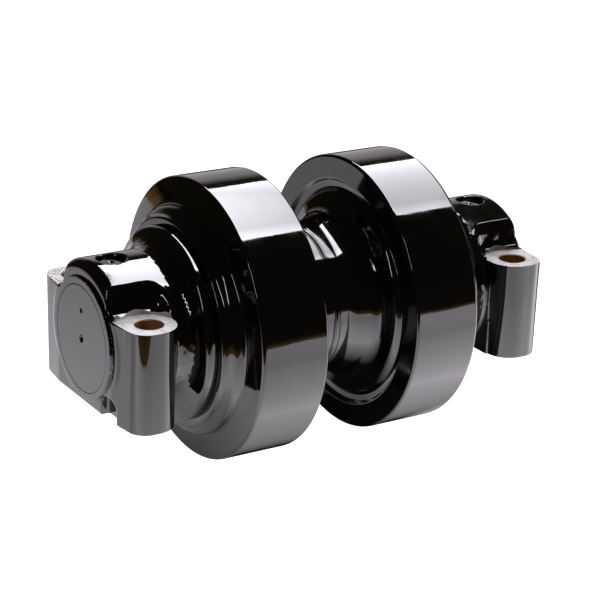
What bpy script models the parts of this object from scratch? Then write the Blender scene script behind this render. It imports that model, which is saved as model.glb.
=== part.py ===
"""Track roller for a crawler undercarriage: a turned shell with two drums, a fixed shaft, two end collars.

Units are metres and +Z is up. The shaft lies along X and mid-length is the origin. The flat seats that
meet the track frame face -Z, and the bolt-head spot faces face +Z. Everything is mirrored about x = 0,
so each function takes a side: -1 for left, +1 for right.
"""

import math

import bmesh
import bpy
from mathutils import Vector

MM = 0.001
FIT_GAP = 0.3 * MM                      # clearance kept between pieces that touch on the real roller

# Shell: the rotating forging
DRUM_RADIUS = 100.0 * MM
DRUM_INNER_FACE = 35.7 * MM             # distances along the shaft, from mid-length
DRUM_OUTER_FACE = 86.7 * MM
DRUM_INNER_EDGE = 2.0 * MM
DRUM_OUTER_EDGE = 3.5 * MM
NECK_RADIUS = 55.0 * MM
NECK_STRAIGHT = 8.0 * MM                # the neck is a plain cylinder this far each side of mid-length
NECK_FLARE = 58.0 * MM                  # then it flares gently, and turns up into the hub by a fillet
NECK_FLARE_TURN = 14.0                  # degrees
NECK_FILLET = 11.0 * MM
NECK_FILLET_TURN = 73.5                 # degrees from the axis at the fillet's end
HUB_CREST = (35.3 * MM, 72.5 * MM)
WEB_GROOVE = (39.5 * MM, 76.0 * MM)
WEB_GROOVE_WALL = (38.7 * MM, 80.5 * MM)
FACE_LIP_RADIUS = 83.0 * MM
FACE_CONE = (89.0 * MM, 87.5 * MM)      # the outboard face leans out to this soft edge
STEP_ROOTS = (89.4 * MM, 96.2 * MM)
STEP_RADII = (80.4 * MM, 74.2 * MM)     # two rings that step in to the collar
STEP_ENDS = (96.2 * MM, 103.2 * MM)
STEP_EDGE = 3.2 * MM
STEP_FILLET = 2.4 * MM
CAVITY_RADIUS = 46.0 * MM
CAVITY_HALF_LENGTH = 46.0 * MM
CAVITY_TAPER = 2.0 * MM

# Shaft and the running fits on it
SHAFT_RADIUS = 37.5 * MM
SHAFT_SHOULDER_RADIUS = 41.5 * MM
SHAFT_CHAMFER = 1.0 * MM
HALF_LENGTH = 170.5 * MM
BUSH_OUTER_RADIUS = 43.0 * MM
BUSH_INNER_END = 46.5 * MM
BUSH_OUTER_END = 89.7 * MM
BUSH_CHAMFER = 1.0 * MM
THRUST_RING_RADIUS = 46.0 * MM
THRUST_RING_THICKNESS = 3.3 * MM
THRUST_RING_CHAMFER = 0.5 * MM
THRUST_RING_GAP = 0.5 * MM              # round its outside, in the shell
THRUST_RING_BORE_GAP = 0.7 * MM         # round the shaft

# Floating face seals
SEAL_HALF_GAP = 0.15 * MM
SHELL_MOUTH = STEP_ENDS[1]              # open end of the seal housing in the shell
COLLAR_MOUTH = SHELL_MOUTH + 2 * SEAL_HALF_GAP
SEAL_HOUSING_DEPTH = 10.7 * MM
SEAL_HOUSING_RADIUS = 56.6 * MM         # at the floor, opening to the mouth by the ramp
SEAL_HOUSING_RAMP = 0.6 * MM
SEAL_HOUSING_CHAMFER = 2.4 * MM         # at the floor of the collar's housing
SEAL_RING_INNER_RADIUS = 46.4 * MM
SEAL_RING_LENGTH = 8.2 * MM
SEAL_LIP_RADIUS = 54.8 * MM
SEAL_LIP_THICKNESS = 3.2 * MM
SEAL_BODY_RADIUS = 48.9 * MM
SEAL_RELIEF = 0.6 * MM
TORIC_SECTION_RADIUS = 3.4 * MM
TORIC_CENTRE_RADIUS = 52.6 * MM
TORIC_OFFSET = 6.9 * MM

# End collars
FLANGE_RADIUS = 66.9 * MM
FLANGE_CHAMFER = 0.8 * MM
FLANGE_FILLET = 10.3 * MM
BARREL_RADIUS = 54.4 * MM
BARREL_START = 122.8 * MM
HUB_RADIUS = 45.7 * MM
HUB_CLEARANCE = 1.4 * MM                # from the hub's end to the shell's inner floor
WEB_FACE = 168.3 * MM                   # outboard face of the web, behind the raised pad
PAD_RADIUS = 43.0 * MM
PAD_STEP = 0.6 * MM                     # slopes at the foot and the rim of the pad
SHOULDER_START = 162.5 * MM
SHOULDER_END_RADIUS = 46.5 * MM
SEAT_Z = -46.5 * MM
SPOT_FACE_Z = 25.0 * MM
BOSS_X = 148.2 * MM
BOSS_Y = 55.4 * MM
BOSS_RADIUS = 18.6 * MM
BOSS_DRAFT = 1.5 * MM                   # how much smaller the boss is at the seat
BOSS_CORNER = 11.0 * MM                 # outer corner between the boss and the leaning face of the web
WEB_LEAN_START = 41.0 * MM              # from here outwards the web's outboard face leans back
WEB_LEAN = 0.104
BOLT_HOLE_RADIUS = 9.5 * MM
POCKET_WALL_Y = 33.0 * MM
POCKET_WALL_LEAN = 1.0 * MM
POCKET_HALF_LENGTH = 19.0 * MM
POCKET_CORNER = 9.0 * MM
POCKET_HEIGHT = 30.0 * MM
NOTCH_Y = 36.0 * MM
NOTCH_HALF_WIDTH = 10.0 * MM
NOTCH_TOP_Z = -30.5 * MM
NOTCH_SPRING_Z = -36.5 * MM
NOTCH_FLOOR = 162.5 * MM
SEAT_CUT_START = 127.0 * MM

# Shaft-to-collar O-ring, lock pin and oil plug
O_RING_X = 120.0 * MM
O_RING_SECTION_RADIUS = 1.55 * MM
O_RING_CENTRE_RADIUS = 39.45 * MM
O_RING_GROOVE_RADIUS = 41.3 * MM
O_RING_GROOVE_HALF_WIDTH = 1.9 * MM
PIN_RADIUS = 8.0 * MM
PIN_BOTTOM_Z = 18.0 * MM
PIN_TOP_Z = 51.0 * MM
PIN_CHAMFER = 1.0 * MM
PIN_RECESS_RADIUS = 10.0 * MM
PIN_RECESS_FLOOR_Z = 49.0 * MM
GALLERY_RADIUS = 4.0 * MM
CROSS_DRILLING_RADIUS = 3.0 * MM
PLUG_RADIUS = 8.0 * MM
PLUG_LENGTH = 12.0 * MM
PLUG_HEX_RADIUS = 4.6 * MM
PLUG_HEX_DEPTH = 6.0 * MM
PLUG_SET_BACK = 0.5 * MM
PLUG_CHAMFER = 0.8 * MM
PLUG_BORE_SPARE = 1.0 * MM              # free depth behind the plug
CENTRE_DIMPLE_RADIUS = 2.4 * MM
INDEX_MARK_Z = 20.0 * MM
INDEX_MARK_RADIUS = 1.3 * MM
INDEX_MARK_DEPTH = 1.0 * MM

# Facets
SHELL_FACETS = 40
RING_FACETS = 36
BOLT_FACETS = 24
SMALL_FACETS = 12
SHARP_ANGLE = math.radians(35)
FAR = 300.0 * MM                        # longer than anything a cutter passes through
CUT_MARGIN = 2.0 * MM
MERGE_DISTANCE = 0.001 * MM

SIDES = {"left": -1, "right": 1}


# ---------------------------------------------------------------- outlines


def arc(centre_x, centre_r, radius, start_deg, end_deg, steps):
    """Points along an arc, both ends included; 0 degrees points along +X and 90 outwards."""
    points = []
    for i in range(steps + 1):
        angle = math.radians(start_deg + (end_deg - start_deg) * i / steps)
        points.append((centre_x + radius * math.cos(angle), centre_r + radius * math.sin(angle)))
    return points


def edge_round(x, r, radius, steps=2):
    """A convex corner between a cylinder of radius r and an outboard face at x."""
    return arc(x - radius, r - radius, radius, 90, 0, steps)


def step_ring(index):
    """One rounded ring of the stepped outboard side, from its root fillet to its outboard face."""
    radius = STEP_RADII[index]
    fillet = STEP_FILLET
    root = arc(STEP_ROOTS[index] + fillet, radius + fillet, fillet, 180, 270, 2)
    return root + edge_round(STEP_ENDS[index], radius, STEP_EDGE)


def neck_half_outline():
    """The neck from mid-length to the hub: straight, a gentle flare, then a tighter fillet."""
    flare = arc(NECK_STRAIGHT, NECK_RADIUS + NECK_FLARE, NECK_FLARE, -90, NECK_FLARE_TURN - 90, 2)
    turn = math.radians(NECK_FLARE_TURN)
    end_x, end_r = flare[-1]
    centre_x = end_x - NECK_FILLET * math.sin(turn)
    centre_r = end_r + NECK_FILLET * math.cos(turn)
    fillet = arc(centre_x, centre_r, NECK_FILLET, NECK_FLARE_TURN - 90, NECK_FILLET_TURN - 90, 3)
    return flare + fillet[1:]


def shell_half_outline():
    """The shell's outside from mid-length to its right end."""
    points = neck_half_outline()
    points += [HUB_CREST, WEB_GROOVE, WEB_GROOVE_WALL]
    points.append((DRUM_INNER_FACE, FACE_LIP_RADIUS))
    inner = DRUM_INNER_EDGE
    points += arc(DRUM_INNER_FACE + inner, DRUM_RADIUS - inner, inner, 180, 90, 2)
    points += edge_round(DRUM_OUTER_FACE, DRUM_RADIUS, DRUM_OUTER_EDGE, 3)
    points.append(FACE_CONE)
    for index in range(len(STEP_RADII)):
        points += step_ring(index)
    return points


def shell_half_bore():
    """The shell's inside from its right end back to mid-length."""
    floor = SHELL_MOUTH - SEAL_HOUSING_DEPTH
    seat = BUSH_OUTER_RADIUS + FIT_GAP
    recess = BUSH_OUTER_END + FIT_GAP
    thrust_seat = THRUST_RING_RADIUS + THRUST_RING_GAP
    return [
        (SHELL_MOUTH, SEAL_HOUSING_RADIUS + SEAL_HOUSING_RAMP),
        (floor, SEAL_HOUSING_RADIUS),
        (floor, thrust_seat),
        (recess, thrust_seat),
        (recess, seat),
        (CAVITY_HALF_LENGTH, seat),
        (CAVITY_HALF_LENGTH - CAVITY_TAPER, CAVITY_RADIUS),
    ]


def mirrored(points):
    """The same outline on the other side of mid-length, walked back towards the start."""
    return [(-x, r) for x, r in reversed(points)]


def collar_outline():
    """The turned core of a collar: hub, seal housing, flange, barrel, pad and bore."""
    hub_end = SHELL_MOUTH - SEAL_HOUSING_DEPTH + HUB_CLEARANCE
    floor = COLLAR_MOUTH + SEAL_HOUSING_DEPTH
    bore = SHAFT_RADIUS + FIT_GAP
    flange_end = BARREL_START - FLANGE_FILLET
    flange_edge = FLANGE_RADIUS - BARREL_RADIUS - FLANGE_FILLET
    points = [
        (hub_end, bore),
        (hub_end, HUB_RADIUS),
        (floor, HUB_RADIUS),
        (floor, SEAL_HOUSING_RADIUS - SEAL_HOUSING_CHAMFER),
        (floor - SEAL_HOUSING_CHAMFER, SEAL_HOUSING_RADIUS),
        (COLLAR_MOUTH, SEAL_HOUSING_RADIUS + SEAL_HOUSING_RAMP),
        (COLLAR_MOUTH, FLANGE_RADIUS - FLANGE_CHAMFER),
        (COLLAR_MOUTH + FLANGE_CHAMFER, FLANGE_RADIUS),
    ]
    points += edge_round(flange_end, FLANGE_RADIUS, flange_edge)
    fillet = arc(BARREL_START, BARREL_RADIUS + FLANGE_FILLET, FLANGE_FILLET, 180, 270, 5)
    points += fillet[1:]
    points += shoulder()
    points += [
        (WEB_FACE, PAD_RADIUS + PAD_STEP),
        (WEB_FACE + PAD_STEP, PAD_RADIUS),
        (HALF_LENGTH - PAD_STEP, PAD_RADIUS),
        (HALF_LENGTH, PAD_RADIUS - PAD_STEP),
        (HALF_LENGTH, bore),
        (O_RING_X + O_RING_GROOVE_HALF_WIDTH, bore),
        (O_RING_X + O_RING_GROOVE_HALF_WIDTH, O_RING_GROOVE_RADIUS),
        (O_RING_X - O_RING_GROOVE_HALF_WIDTH, O_RING_GROOVE_RADIUS),
        (O_RING_X - O_RING_GROOVE_HALF_WIDTH, bore),
    ]
    return points


def shoulder(steps=4):
    """The barrel's rounded outboard shoulder, a quarter of an ellipse."""
    length = WEB_FACE - SHOULDER_START
    drop = BARREL_RADIUS - SHOULDER_END_RADIUS
    points = []
    for i in range(steps + 1):
        angle = math.pi / 2 * i / steps
        x = SHOULDER_START + length * math.sin(angle)
        points.append((x, SHOULDER_END_RADIUS + drop * math.cos(angle)))
    return points


def rectangle_ring(x_start, x_end, r_inner, r_outer, chamfer):
    """A ring's section with its two outer corners chamfered."""
    return [
        (x_start, r_inner),
        (x_start, r_outer - chamfer),
        (x_start + chamfer, r_outer),
        (x_end - chamfer, r_outer),
        (x_end, r_outer - chamfer),
        (x_end, r_inner),
    ]


def seal_ring_outline(face, inwards):
    """An L-shaped metal seal ring: its lapped face at `face`, its body running `inwards` (-1 or +1)."""
    lip = face + inwards * SEAL_LIP_THICKNESS
    end = face + inwards * SEAL_RING_LENGTH
    return [
        (face, SEAL_RING_INNER_RADIUS),
        (face, SEAL_LIP_RADIUS),
        (lip, SEAL_LIP_RADIUS),
        (lip + inwards * SEAL_RELIEF, SEAL_BODY_RADIUS),
        (end, SEAL_BODY_RADIUS - SEAL_RELIEF),
        (end, SEAL_RING_INNER_RADIUS),
    ]


def boss_plan(shrink):
    """The web and both bosses seen from above, on the right side, as (x, y) points going round once.

    Each boss is round inboard. Outboard it runs square to a rounded corner with the leaning web face.
    """
    corner_y = BOSS_Y + BOSS_RADIUS - BOSS_CORNER
    corner_x = WEB_FACE - WEB_LEAN * (corner_y - WEB_LEAN_START) - BOSS_CORNER
    lean = math.degrees(math.atan(WEB_LEAN))
    half = arc(BOSS_X, BOSS_Y, BOSS_RADIUS - shrink, 180, 90, 6)
    half += arc(corner_x, corner_y, BOSS_CORNER - shrink, 90, lean, 4)
    half.append((WEB_FACE - shrink / 3, WEB_LEAN_START))
    return [(x, -y) for x, y in half] + half[::-1]


# ---------------------------------------------------------------- mesh making


def paint(obj, name, colour, roughness, metallic):
    material = bpy.data.materials.get(name) or bpy.data.materials.new(name)
    material.use_nodes = True
    material.diffuse_color = (*colour, 1.0)
    shader = material.node_tree.nodes["Principled BSDF"]
    shader.inputs["Base Color"].default_value = (*colour, 1.0)
    shader.inputs["Roughness"].default_value = roughness
    shader.inputs["Metallic"].default_value = metallic
    obj.data.materials.append(material)


FINISHES = {
    "black_enamel": ((0.012, 0.011, 0.010), 0.08, 0.0),
    "turned_steel": ((0.55, 0.54, 0.52), 0.28, 1.0),
    "dark_steel": ((0.20, 0.20, 0.20), 0.35, 1.0),
    "bronze": ((0.60, 0.42, 0.20), 0.35, 1.0),
    "seal_iron": ((0.42, 0.41, 0.40), 0.22, 1.0),
    "nitrile_rubber": ((0.02, 0.02, 0.02), 0.65, 0.0),
}


def finish_mesh(bm, name, finish, parent=None):
    """Turn a bmesh into a named object with outward faces and smooth shading."""
    bmesh.ops.recalc_face_normals(bm, faces=bm.faces)
    mesh = bpy.data.meshes.new(name)
    bm.to_mesh(mesh)
    bm.free()
    mesh.shade_smooth()
    mesh.set_sharp_from_angle(angle=SHARP_ANGLE)
    obj = bpy.data.objects.new(name, mesh)
    bpy.context.scene.collection.objects.link(obj)
    obj.parent = parent
    if finish:
        paint(obj, finish, *FINISHES[finish])
    return obj


def spin_profile(bm, points, facets, closed, side=1):
    """Spin an (x, r) outline about X. A closed outline makes a ring; an open one ends on the axis."""
    verts = [bm.verts.new((side * x, 0.0, r)) for x, r in points]
    edges = [bm.edges.new(pair) for pair in zip(verts, verts[1:])]
    if closed:
        edges.append(bm.edges.new((verts[-1], verts[0])))
    bmesh.ops.spin(
        bm,
        geom=verts + edges,
        cent=(0, 0, 0),
        axis=(1, 0, 0),
        angle=2 * math.pi,
        steps=facets,
        use_merge=True,
    )
    bmesh.ops.remove_doubles(bm, verts=bm.verts, dist=MERGE_DISTANCE)


def turned(name, points, finish, parent, facets=RING_FACETS, closed=True, side=1):
    bm = bmesh.new()
    spin_profile(bm, points, facets, closed, side)
    return finish_mesh(bm, name, finish, parent)


def torus_ring(name, centre_x, centre_r, section_radius, finish, parent, side, section_facets=6):
    """A rubber ring: its section is a regular polygon with flats towards the shaft and the housing."""
    half_turn = 180.0 / section_facets
    full_turn = half_turn + 360
    section = arc(side * centre_x, centre_r, section_radius, half_turn, full_turn, section_facets)[:-1]
    return turned(name, section, finish, parent)


def prism(name, lower, upper, z_low, z_high, finish=None, parent=None):
    """A solid between two plan outlines with the same number of points."""
    bm = bmesh.new()
    bottom = [bm.verts.new((x, y, z_low)) for x, y in lower]
    top = [bm.verts.new((x, y, z_high)) for x, y in upper]
    bm.faces.new(bottom)
    bm.faces.new(top)
    for i in range(len(bottom)):
        j = (i + 1) % len(bottom)
        bm.faces.new((bottom[i], bottom[j], top[j], top[i]))
    return finish_mesh(bm, name, finish, parent)


def round_bar(name, radius, start, end, facets=BOLT_FACETS, finish=None, parent=None, chamfer=0.0):
    """A round bar between two points, with an optional chamfer at its far end."""
    axis = Vector(end) - Vector(start)
    bm = bmesh.new()
    bmesh.ops.create_cone(
        bm, cap_ends=True, segments=facets, radius1=radius, radius2=radius, depth=axis.length
    )
    if chamfer:
        rim = [edge for edge in bm.edges if all(v.co.z > 0 for v in edge.verts)]
        bmesh.ops.bevel(bm, geom=rim, offset=chamfer, segments=1, affect="EDGES")
    obj = finish_mesh(bm, name, finish, parent)
    obj.rotation_mode = "QUATERNION"
    obj.rotation_quaternion = axis.to_track_quat("Z", "Y")
    obj.location = (Vector(start) + Vector(end)) / 2
    return obj


def combine(target, other, operation):
    """A Boolean between two objects; the other object stays in the scene as a hidden guide."""
    modifier = target.modifiers.new(f"{operation.lower()}_{other.name}", "BOOLEAN")
    modifier.operation = operation
    modifier.solver = "EXACT"
    modifier.object = other
    other.hide_render = True
    other.display_type = "WIRE"


def cut(target, cutter):
    combine(target, cutter, "DIFFERENCE")


def join(target, other):
    combine(target, other, "UNION")


# ---------------------------------------------------------------- sub-parts


def make_shell(parent):
    right = shell_half_outline()
    bore = shell_half_bore()
    outline = mirrored(right) + right + bore + mirrored(bore)
    turned("roller_shell", outline, "black_enamel", parent, facets=SHELL_FACETS)


def make_shaft(parent):
    """Turned shaft with a thicker middle, a blind oil gallery from the right end and two pin holes."""
    shoulder_end = CAVITY_HALF_LENGTH - SHAFT_CHAMFER / 2
    dimple = CENTRE_DIMPLE_RADIUS
    plug_floor = HALF_LENGTH - PLUG_LENGTH - PLUG_BORE_SPARE
    points = [
        (-HALF_LENGTH + dimple, 0.0),
        (-HALF_LENGTH, dimple),
        (-HALF_LENGTH, SHAFT_RADIUS - SHAFT_CHAMFER / 2),
        (-HALF_LENGTH + SHAFT_CHAMFER / 2, SHAFT_RADIUS),
        (-shoulder_end, SHAFT_RADIUS),
        (-shoulder_end, SHAFT_SHOULDER_RADIUS - SHAFT_CHAMFER),
        (-shoulder_end + SHAFT_CHAMFER, SHAFT_SHOULDER_RADIUS),
        (shoulder_end - SHAFT_CHAMFER, SHAFT_SHOULDER_RADIUS),
        (shoulder_end, SHAFT_SHOULDER_RADIUS - SHAFT_CHAMFER),
        (shoulder_end, SHAFT_RADIUS),
        (HALF_LENGTH - SHAFT_CHAMFER / 2, SHAFT_RADIUS),
        (HALF_LENGTH, SHAFT_RADIUS - SHAFT_CHAMFER / 2),
        (HALF_LENGTH, PLUG_RADIUS + FIT_GAP),
        (plug_floor, PLUG_RADIUS + FIT_GAP),
        (plug_floor, GALLERY_RADIUS),
        (-GALLERY_RADIUS, GALLERY_RADIUS),
        (-2 * GALLERY_RADIUS, 0.0),
    ]
    shaft = turned("shaft", points, "turned_steel", parent, closed=False)
    down = (0, 0, -FAR)
    drilling = round_bar("cut_cross_drilling", CROSS_DRILLING_RADIUS, (0, 0, 0), down, facets=SMALL_FACETS)
    cut(shaft, drilling)
    mark = round_bar(
        "cut_index_mark",
        INDEX_MARK_RADIUS,
        (-HALF_LENGTH - CUT_MARGIN, 0, INDEX_MARK_Z),
        (-HALF_LENGTH + INDEX_MARK_DEPTH, 0, INDEX_MARK_Z),
        facets=SMALL_FACETS,
    )
    cut(shaft, mark)
    for side_name, side in SIDES.items():
        hole = round_bar(
            f"cut_shaft_pin_hole_{side_name}",
            PIN_RADIUS + FIT_GAP,
            (side * BOSS_X, 0, PIN_BOTTOM_Z - FIT_GAP),
            (side * BOSS_X, 0, FAR),
        )
        cut(shaft, hole)


def make_collar(side_name, side, parent):
    collar = turned(f"collar_{side_name}", collar_outline(), "black_enamel", parent, side=side)
    seat_cut = box_cutter(
        f"cut_seat_{side_name}", side, (SEAT_CUT_START, FAR), (-FAR, FAR), (-FAR, SEAT_Z)
    )
    cut(collar, seat_cut)
    web = prism(
        f"guide_web_{side_name}",
        [(side * x, y) for x, y in boss_plan(BOSS_DRAFT)],
        [(side * x, y) for x, y in boss_plan(0.0)],
        SEAT_Z,
        SPOT_FACE_Z,
    )
    cut(web, core_bar(side_name, side))
    join(collar, web)
    for row_name, row in (("near", -1), ("far", 1)):
        label = f"{row_name}_{side_name}"
        cut(collar, pocket_cutter(f"cut_pocket_{label}", side, row))
        if row == side:
            cut(collar, notch_cutter(f"cut_notch_{label}", side, row))
        hole = round_bar(
            f"cut_bolt_hole_{label}",
            BOLT_HOLE_RADIUS,
            (side * BOSS_X, row * BOSS_Y, -FAR),
            (side * BOSS_X, row * BOSS_Y, FAR),
        )
        cut(collar, hole)
    above = (side * BOSS_X, 0, FAR)
    pin_radius = PIN_RADIUS + FIT_GAP
    cut(collar, round_bar(f"cut_pin_hole_{side_name}", pin_radius, (side * BOSS_X, 0, 0), above))
    recess = round_bar(
        f"cut_pin_recess_{side_name}",
        PIN_RECESS_RADIUS,
        (side * BOSS_X, 0, PIN_RECESS_FLOOR_Z),
        above,
    )
    cut(collar, recess)


def box_cutter(name, side, x_range, y_range, z_range):
    corners = [
        (side * x_range[0], y_range[0]),
        (side * x_range[1], y_range[0]),
        (side * x_range[1], y_range[1]),
        (side * x_range[0], y_range[1]),
    ]
    return prism(name, corners, corners, *z_range)


def core_bar(side_name, side):
    """Clears the middle of the web, where the turned core already has its own walls and bore."""
    radius = (SHAFT_RADIUS + PAD_RADIUS) / 2
    start = (side * CUT_MARGIN, 0, 0)
    return round_bar(f"cut_web_core_{side_name}", radius, start, (side * FAR, 0, 0), facets=RING_FACETS)


def pocket_plan(row, grow):
    """Plan of the cast pocket over a boss: a wall beside the barrel with two round corners."""
    wall = POCKET_WALL_Y - grow
    half = POCKET_HALF_LENGTH + grow
    inset = half - POCKET_CORNER
    corners = arc(BOSS_X + inset, wall + POCKET_CORNER, POCKET_CORNER, 0, -90, 3)
    corners += arc(BOSS_X - inset, wall + POCKET_CORNER, POCKET_CORNER, -90, -180, 3)
    points = [(BOSS_X - half, row * FAR), (BOSS_X + half, row * FAR)]
    return points + [(x, row * y) for x, y in corners]


def pocket_cutter(name, side, row):
    """Cuts the flank of the barrel back so that a bolt head clears it; the wall leans outwards."""
    lower = [(side * x, y) for x, y in pocket_plan(row, 0.0)]
    upper = [(side * x, y) for x, y in pocket_plan(row, POCKET_WALL_LEAN)]
    return prism(name, lower, upper, SPOT_FACE_Z, SPOT_FACE_Z + POCKET_HEIGHT)


def notch_cutter(name, side, row):
    """An arched notch in the outboard face beside a seat."""
    rise = NOTCH_TOP_Z - NOTCH_SPRING_Z
    steps = 6
    below = SEAT_Z - CUT_MARGIN
    profile = [(NOTCH_Y - NOTCH_HALF_WIDTH, below), (NOTCH_Y + NOTCH_HALF_WIDTH, below)]
    for i in range(steps + 1):
        angle = math.pi * i / steps
        y = NOTCH_Y + NOTCH_HALF_WIDTH * math.cos(angle)
        profile.append((y, NOTCH_SPRING_Z + rise * math.sin(angle)))
    bm = bmesh.new()
    ends = []
    for x in (NOTCH_FLOOR, FAR):
        ends.append([bm.verts.new((side * x, row * y, z)) for y, z in profile])
    for ring in ends:
        bm.faces.new(ring)
    for i in range(len(profile)):
        j = (i + 1) % len(profile)
        bm.faces.new((ends[0][i], ends[0][j], ends[1][j], ends[1][i]))
    return finish_mesh(bm, name, None)


def make_bush(side_name, side, parent):
    section = rectangle_ring(
        BUSH_INNER_END, BUSH_OUTER_END, SHAFT_RADIUS + FIT_GAP, BUSH_OUTER_RADIUS, BUSH_CHAMFER
    )
    turned(f"bush_{side_name}", section, "bronze", parent, side=side)


def make_thrust_ring(side_name, side, parent):
    start = BUSH_OUTER_END + 2 * FIT_GAP
    end = start + THRUST_RING_THICKNESS
    bore = SHAFT_RADIUS + THRUST_RING_BORE_GAP
    section = rectangle_ring(start, end, bore, THRUST_RING_RADIUS, THRUST_RING_CHAMFER)
    turned(f"thrust_ring_{side_name}", section, "bronze", parent, side=side)


def make_seal_half(kind, side_name, side, face, inwards, parent):
    """One metal seal ring and the rubber toric that seats it in its housing."""
    section = seal_ring_outline(face, inwards)
    turned(f"seal_ring_{kind}_{side_name}", section, "seal_iron", parent, side=side)
    torus_ring(
        f"toric_ring_{kind}_{side_name}",
        face + inwards * TORIC_OFFSET,
        TORIC_CENTRE_RADIUS,
        TORIC_SECTION_RADIUS,
        "nitrile_rubber",
        parent,
        side,
    )


def make_lock_pin(side_name, side, parent):
    round_bar(
        f"lock_pin_{side_name}",
        PIN_RADIUS,
        (side * BOSS_X, 0, PIN_BOTTOM_Z),
        (side * BOSS_X, 0, PIN_TOP_Z),
        finish="dark_steel",
        parent=parent,
        chamfer=PIN_CHAMFER,
    )


def make_oil_plug(parent):
    """A socket-head pipe plug flush in the right end of the shaft."""
    plug = round_bar(
        "oil_plug",
        PLUG_RADIUS,
        (HALF_LENGTH - PLUG_LENGTH, 0, 0),
        (HALF_LENGTH - PLUG_SET_BACK, 0, 0),
        finish="dark_steel",
        parent=parent,
        chamfer=PLUG_CHAMFER,
    )
    socket = round_bar(
        "cut_plug_socket", PLUG_HEX_RADIUS, (HALF_LENGTH - PLUG_HEX_DEPTH, 0, 0), (FAR, 0, 0), facets=6
    )
    cut(plug, socket)


def make_datum(name):
    """An empty on the shaft's axis that pieces of one body hang from."""
    datum = bpy.data.objects.new(name, None)
    datum.empty_display_size = DRUM_RADIUS
    bpy.context.scene.collection.objects.link(datum)
    return datum


def build():
    for obj in list(bpy.data.objects):
        bpy.data.objects.remove(obj, do_unlink=True)
    fixed = make_datum("track_frame_datum")
    rotating = make_datum("roller_axis")
    make_shell(rotating)
    make_shaft(fixed)
    make_oil_plug(fixed)
    for side_name, side in SIDES.items():
        make_collar(side_name, side, fixed)
        make_bush(side_name, side, rotating)
        make_thrust_ring(side_name, side, rotating)
        make_seal_half("rotating", side_name, side, SHELL_MOUTH, -1, rotating)
        make_seal_half("fixed", side_name, side, COLLAR_MOUTH, 1, fixed)
        torus_ring(
            f"shaft_o_ring_{side_name}",
            O_RING_X,
            O_RING_CENTRE_RADIUS,
            O_RING_SECTION_RADIUS,
            "nitrile_rubber",
            fixed,
            side,
        )
        make_lock_pin(side_name, side, fixed)


build()
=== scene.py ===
"""Looks of the track roller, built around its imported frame.

Shapes are worked out in millimetres and turned into metres when a mesh is made. The roller's axis is X,
+Z is up, and `side` is -1 for the left end and +1 for the right end.
"""

import math

import bpy
import numpy as np
from mathutils import Matrix, Vector


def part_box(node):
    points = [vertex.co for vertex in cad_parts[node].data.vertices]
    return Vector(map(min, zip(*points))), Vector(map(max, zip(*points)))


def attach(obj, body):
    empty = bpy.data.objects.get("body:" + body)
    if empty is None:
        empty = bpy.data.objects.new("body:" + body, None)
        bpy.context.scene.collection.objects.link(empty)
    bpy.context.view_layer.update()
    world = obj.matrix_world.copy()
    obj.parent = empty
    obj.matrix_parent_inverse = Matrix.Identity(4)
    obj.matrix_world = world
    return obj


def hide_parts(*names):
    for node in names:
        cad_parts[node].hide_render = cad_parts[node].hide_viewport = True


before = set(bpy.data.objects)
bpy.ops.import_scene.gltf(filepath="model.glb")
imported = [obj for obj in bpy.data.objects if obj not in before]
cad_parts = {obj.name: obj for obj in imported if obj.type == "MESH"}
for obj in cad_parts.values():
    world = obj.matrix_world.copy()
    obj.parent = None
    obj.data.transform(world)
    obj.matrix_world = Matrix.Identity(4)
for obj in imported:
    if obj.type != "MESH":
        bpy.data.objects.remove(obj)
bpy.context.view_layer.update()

MM = 0.001
SIDES = {"left": -1, "right": 1}
# the right spot face takes a darker copy of the milled steel, with painted shade
SPOT_FACE_METALS = {"left": "milled_steel", "right": "shaded_milled_steel"}
ROWS = (-1, 1)                          # near and far row of bolt holes


def cad_size(node):
    """(x from mid-length at the near and far end, outer radius) of a turned CAD node, in mm."""
    low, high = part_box(node)
    ends = sorted((abs(low.x), abs(high.x)))
    return ends[0] / MM, ends[1] / MM, high.z / MM


# Shell. A corner of an outline is (along the shaft from mid-length, radius, fillet).
DRUM_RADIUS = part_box("roller_shell")[1].z / MM
DRUM_INNER_FACE = 35.7
DRUM_OUTER_FACE = 86.7
DRUM_INNER_EDGE = 2.0
DRUM_OUTER_EDGE = 2.6
NECK_RADIUS = 55.0
NECK_TOLERANCE = 0.5
NECK_FLARE = (12.4, 55.0, 78.0)         # a slow curve, then a tighter one up to the hub
NECK_FILLET = (31.2, 59.9, 16.5)
HUB_CREST = (35.3, 72.5, 7.0)
FACE_GROOVE = (39.5, 76.0, 1.6)
FACE_GROOVE_WALL = (38.7, 80.5, 1.6)
FACE_LIP = (35.7, 83.0, 1.2)
OUTER_STEPS = (                         # soft steps from the drum's face in to the collar
    (88.4, 90.0, 4.0),
    (89.8, 81.0, 4.0),
    (95.0, 80.2, 9.0),
    (100.0, 74.6, 9.0),
    (103.2, 73.8, 3.5),
)
SHELL_MOUTH = 103.2
WELD_GROOVE_X = -1.5
WELD_GROOVE_DEPTH = 0.7
WELD_GROOVE_HALF_WIDTH = 0.9
WELD_LINE_X = 1.6
WELD_LINE_DEPTH = 0.15
WELD_LINE_HALF_WIDTH = 0.4
WELD_WANDER = (0.35, 0.2)               # two waves round the neck
WELD_FINE_STEP = 0.25                   # spacing of the outline's points over the weld
WELD_FINE_REACH = 5.0
CAVITY_RADIUS = 46.0
CAVITY_HALF_LENGTH = 46.0
CAVITY_CHAMFER = 2.0
BUSH_CLEARANCE = 0.3
THRUST_CLEARANCE = 0.5
THRUST_BORE_CLEARANCE = 0.7

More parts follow.
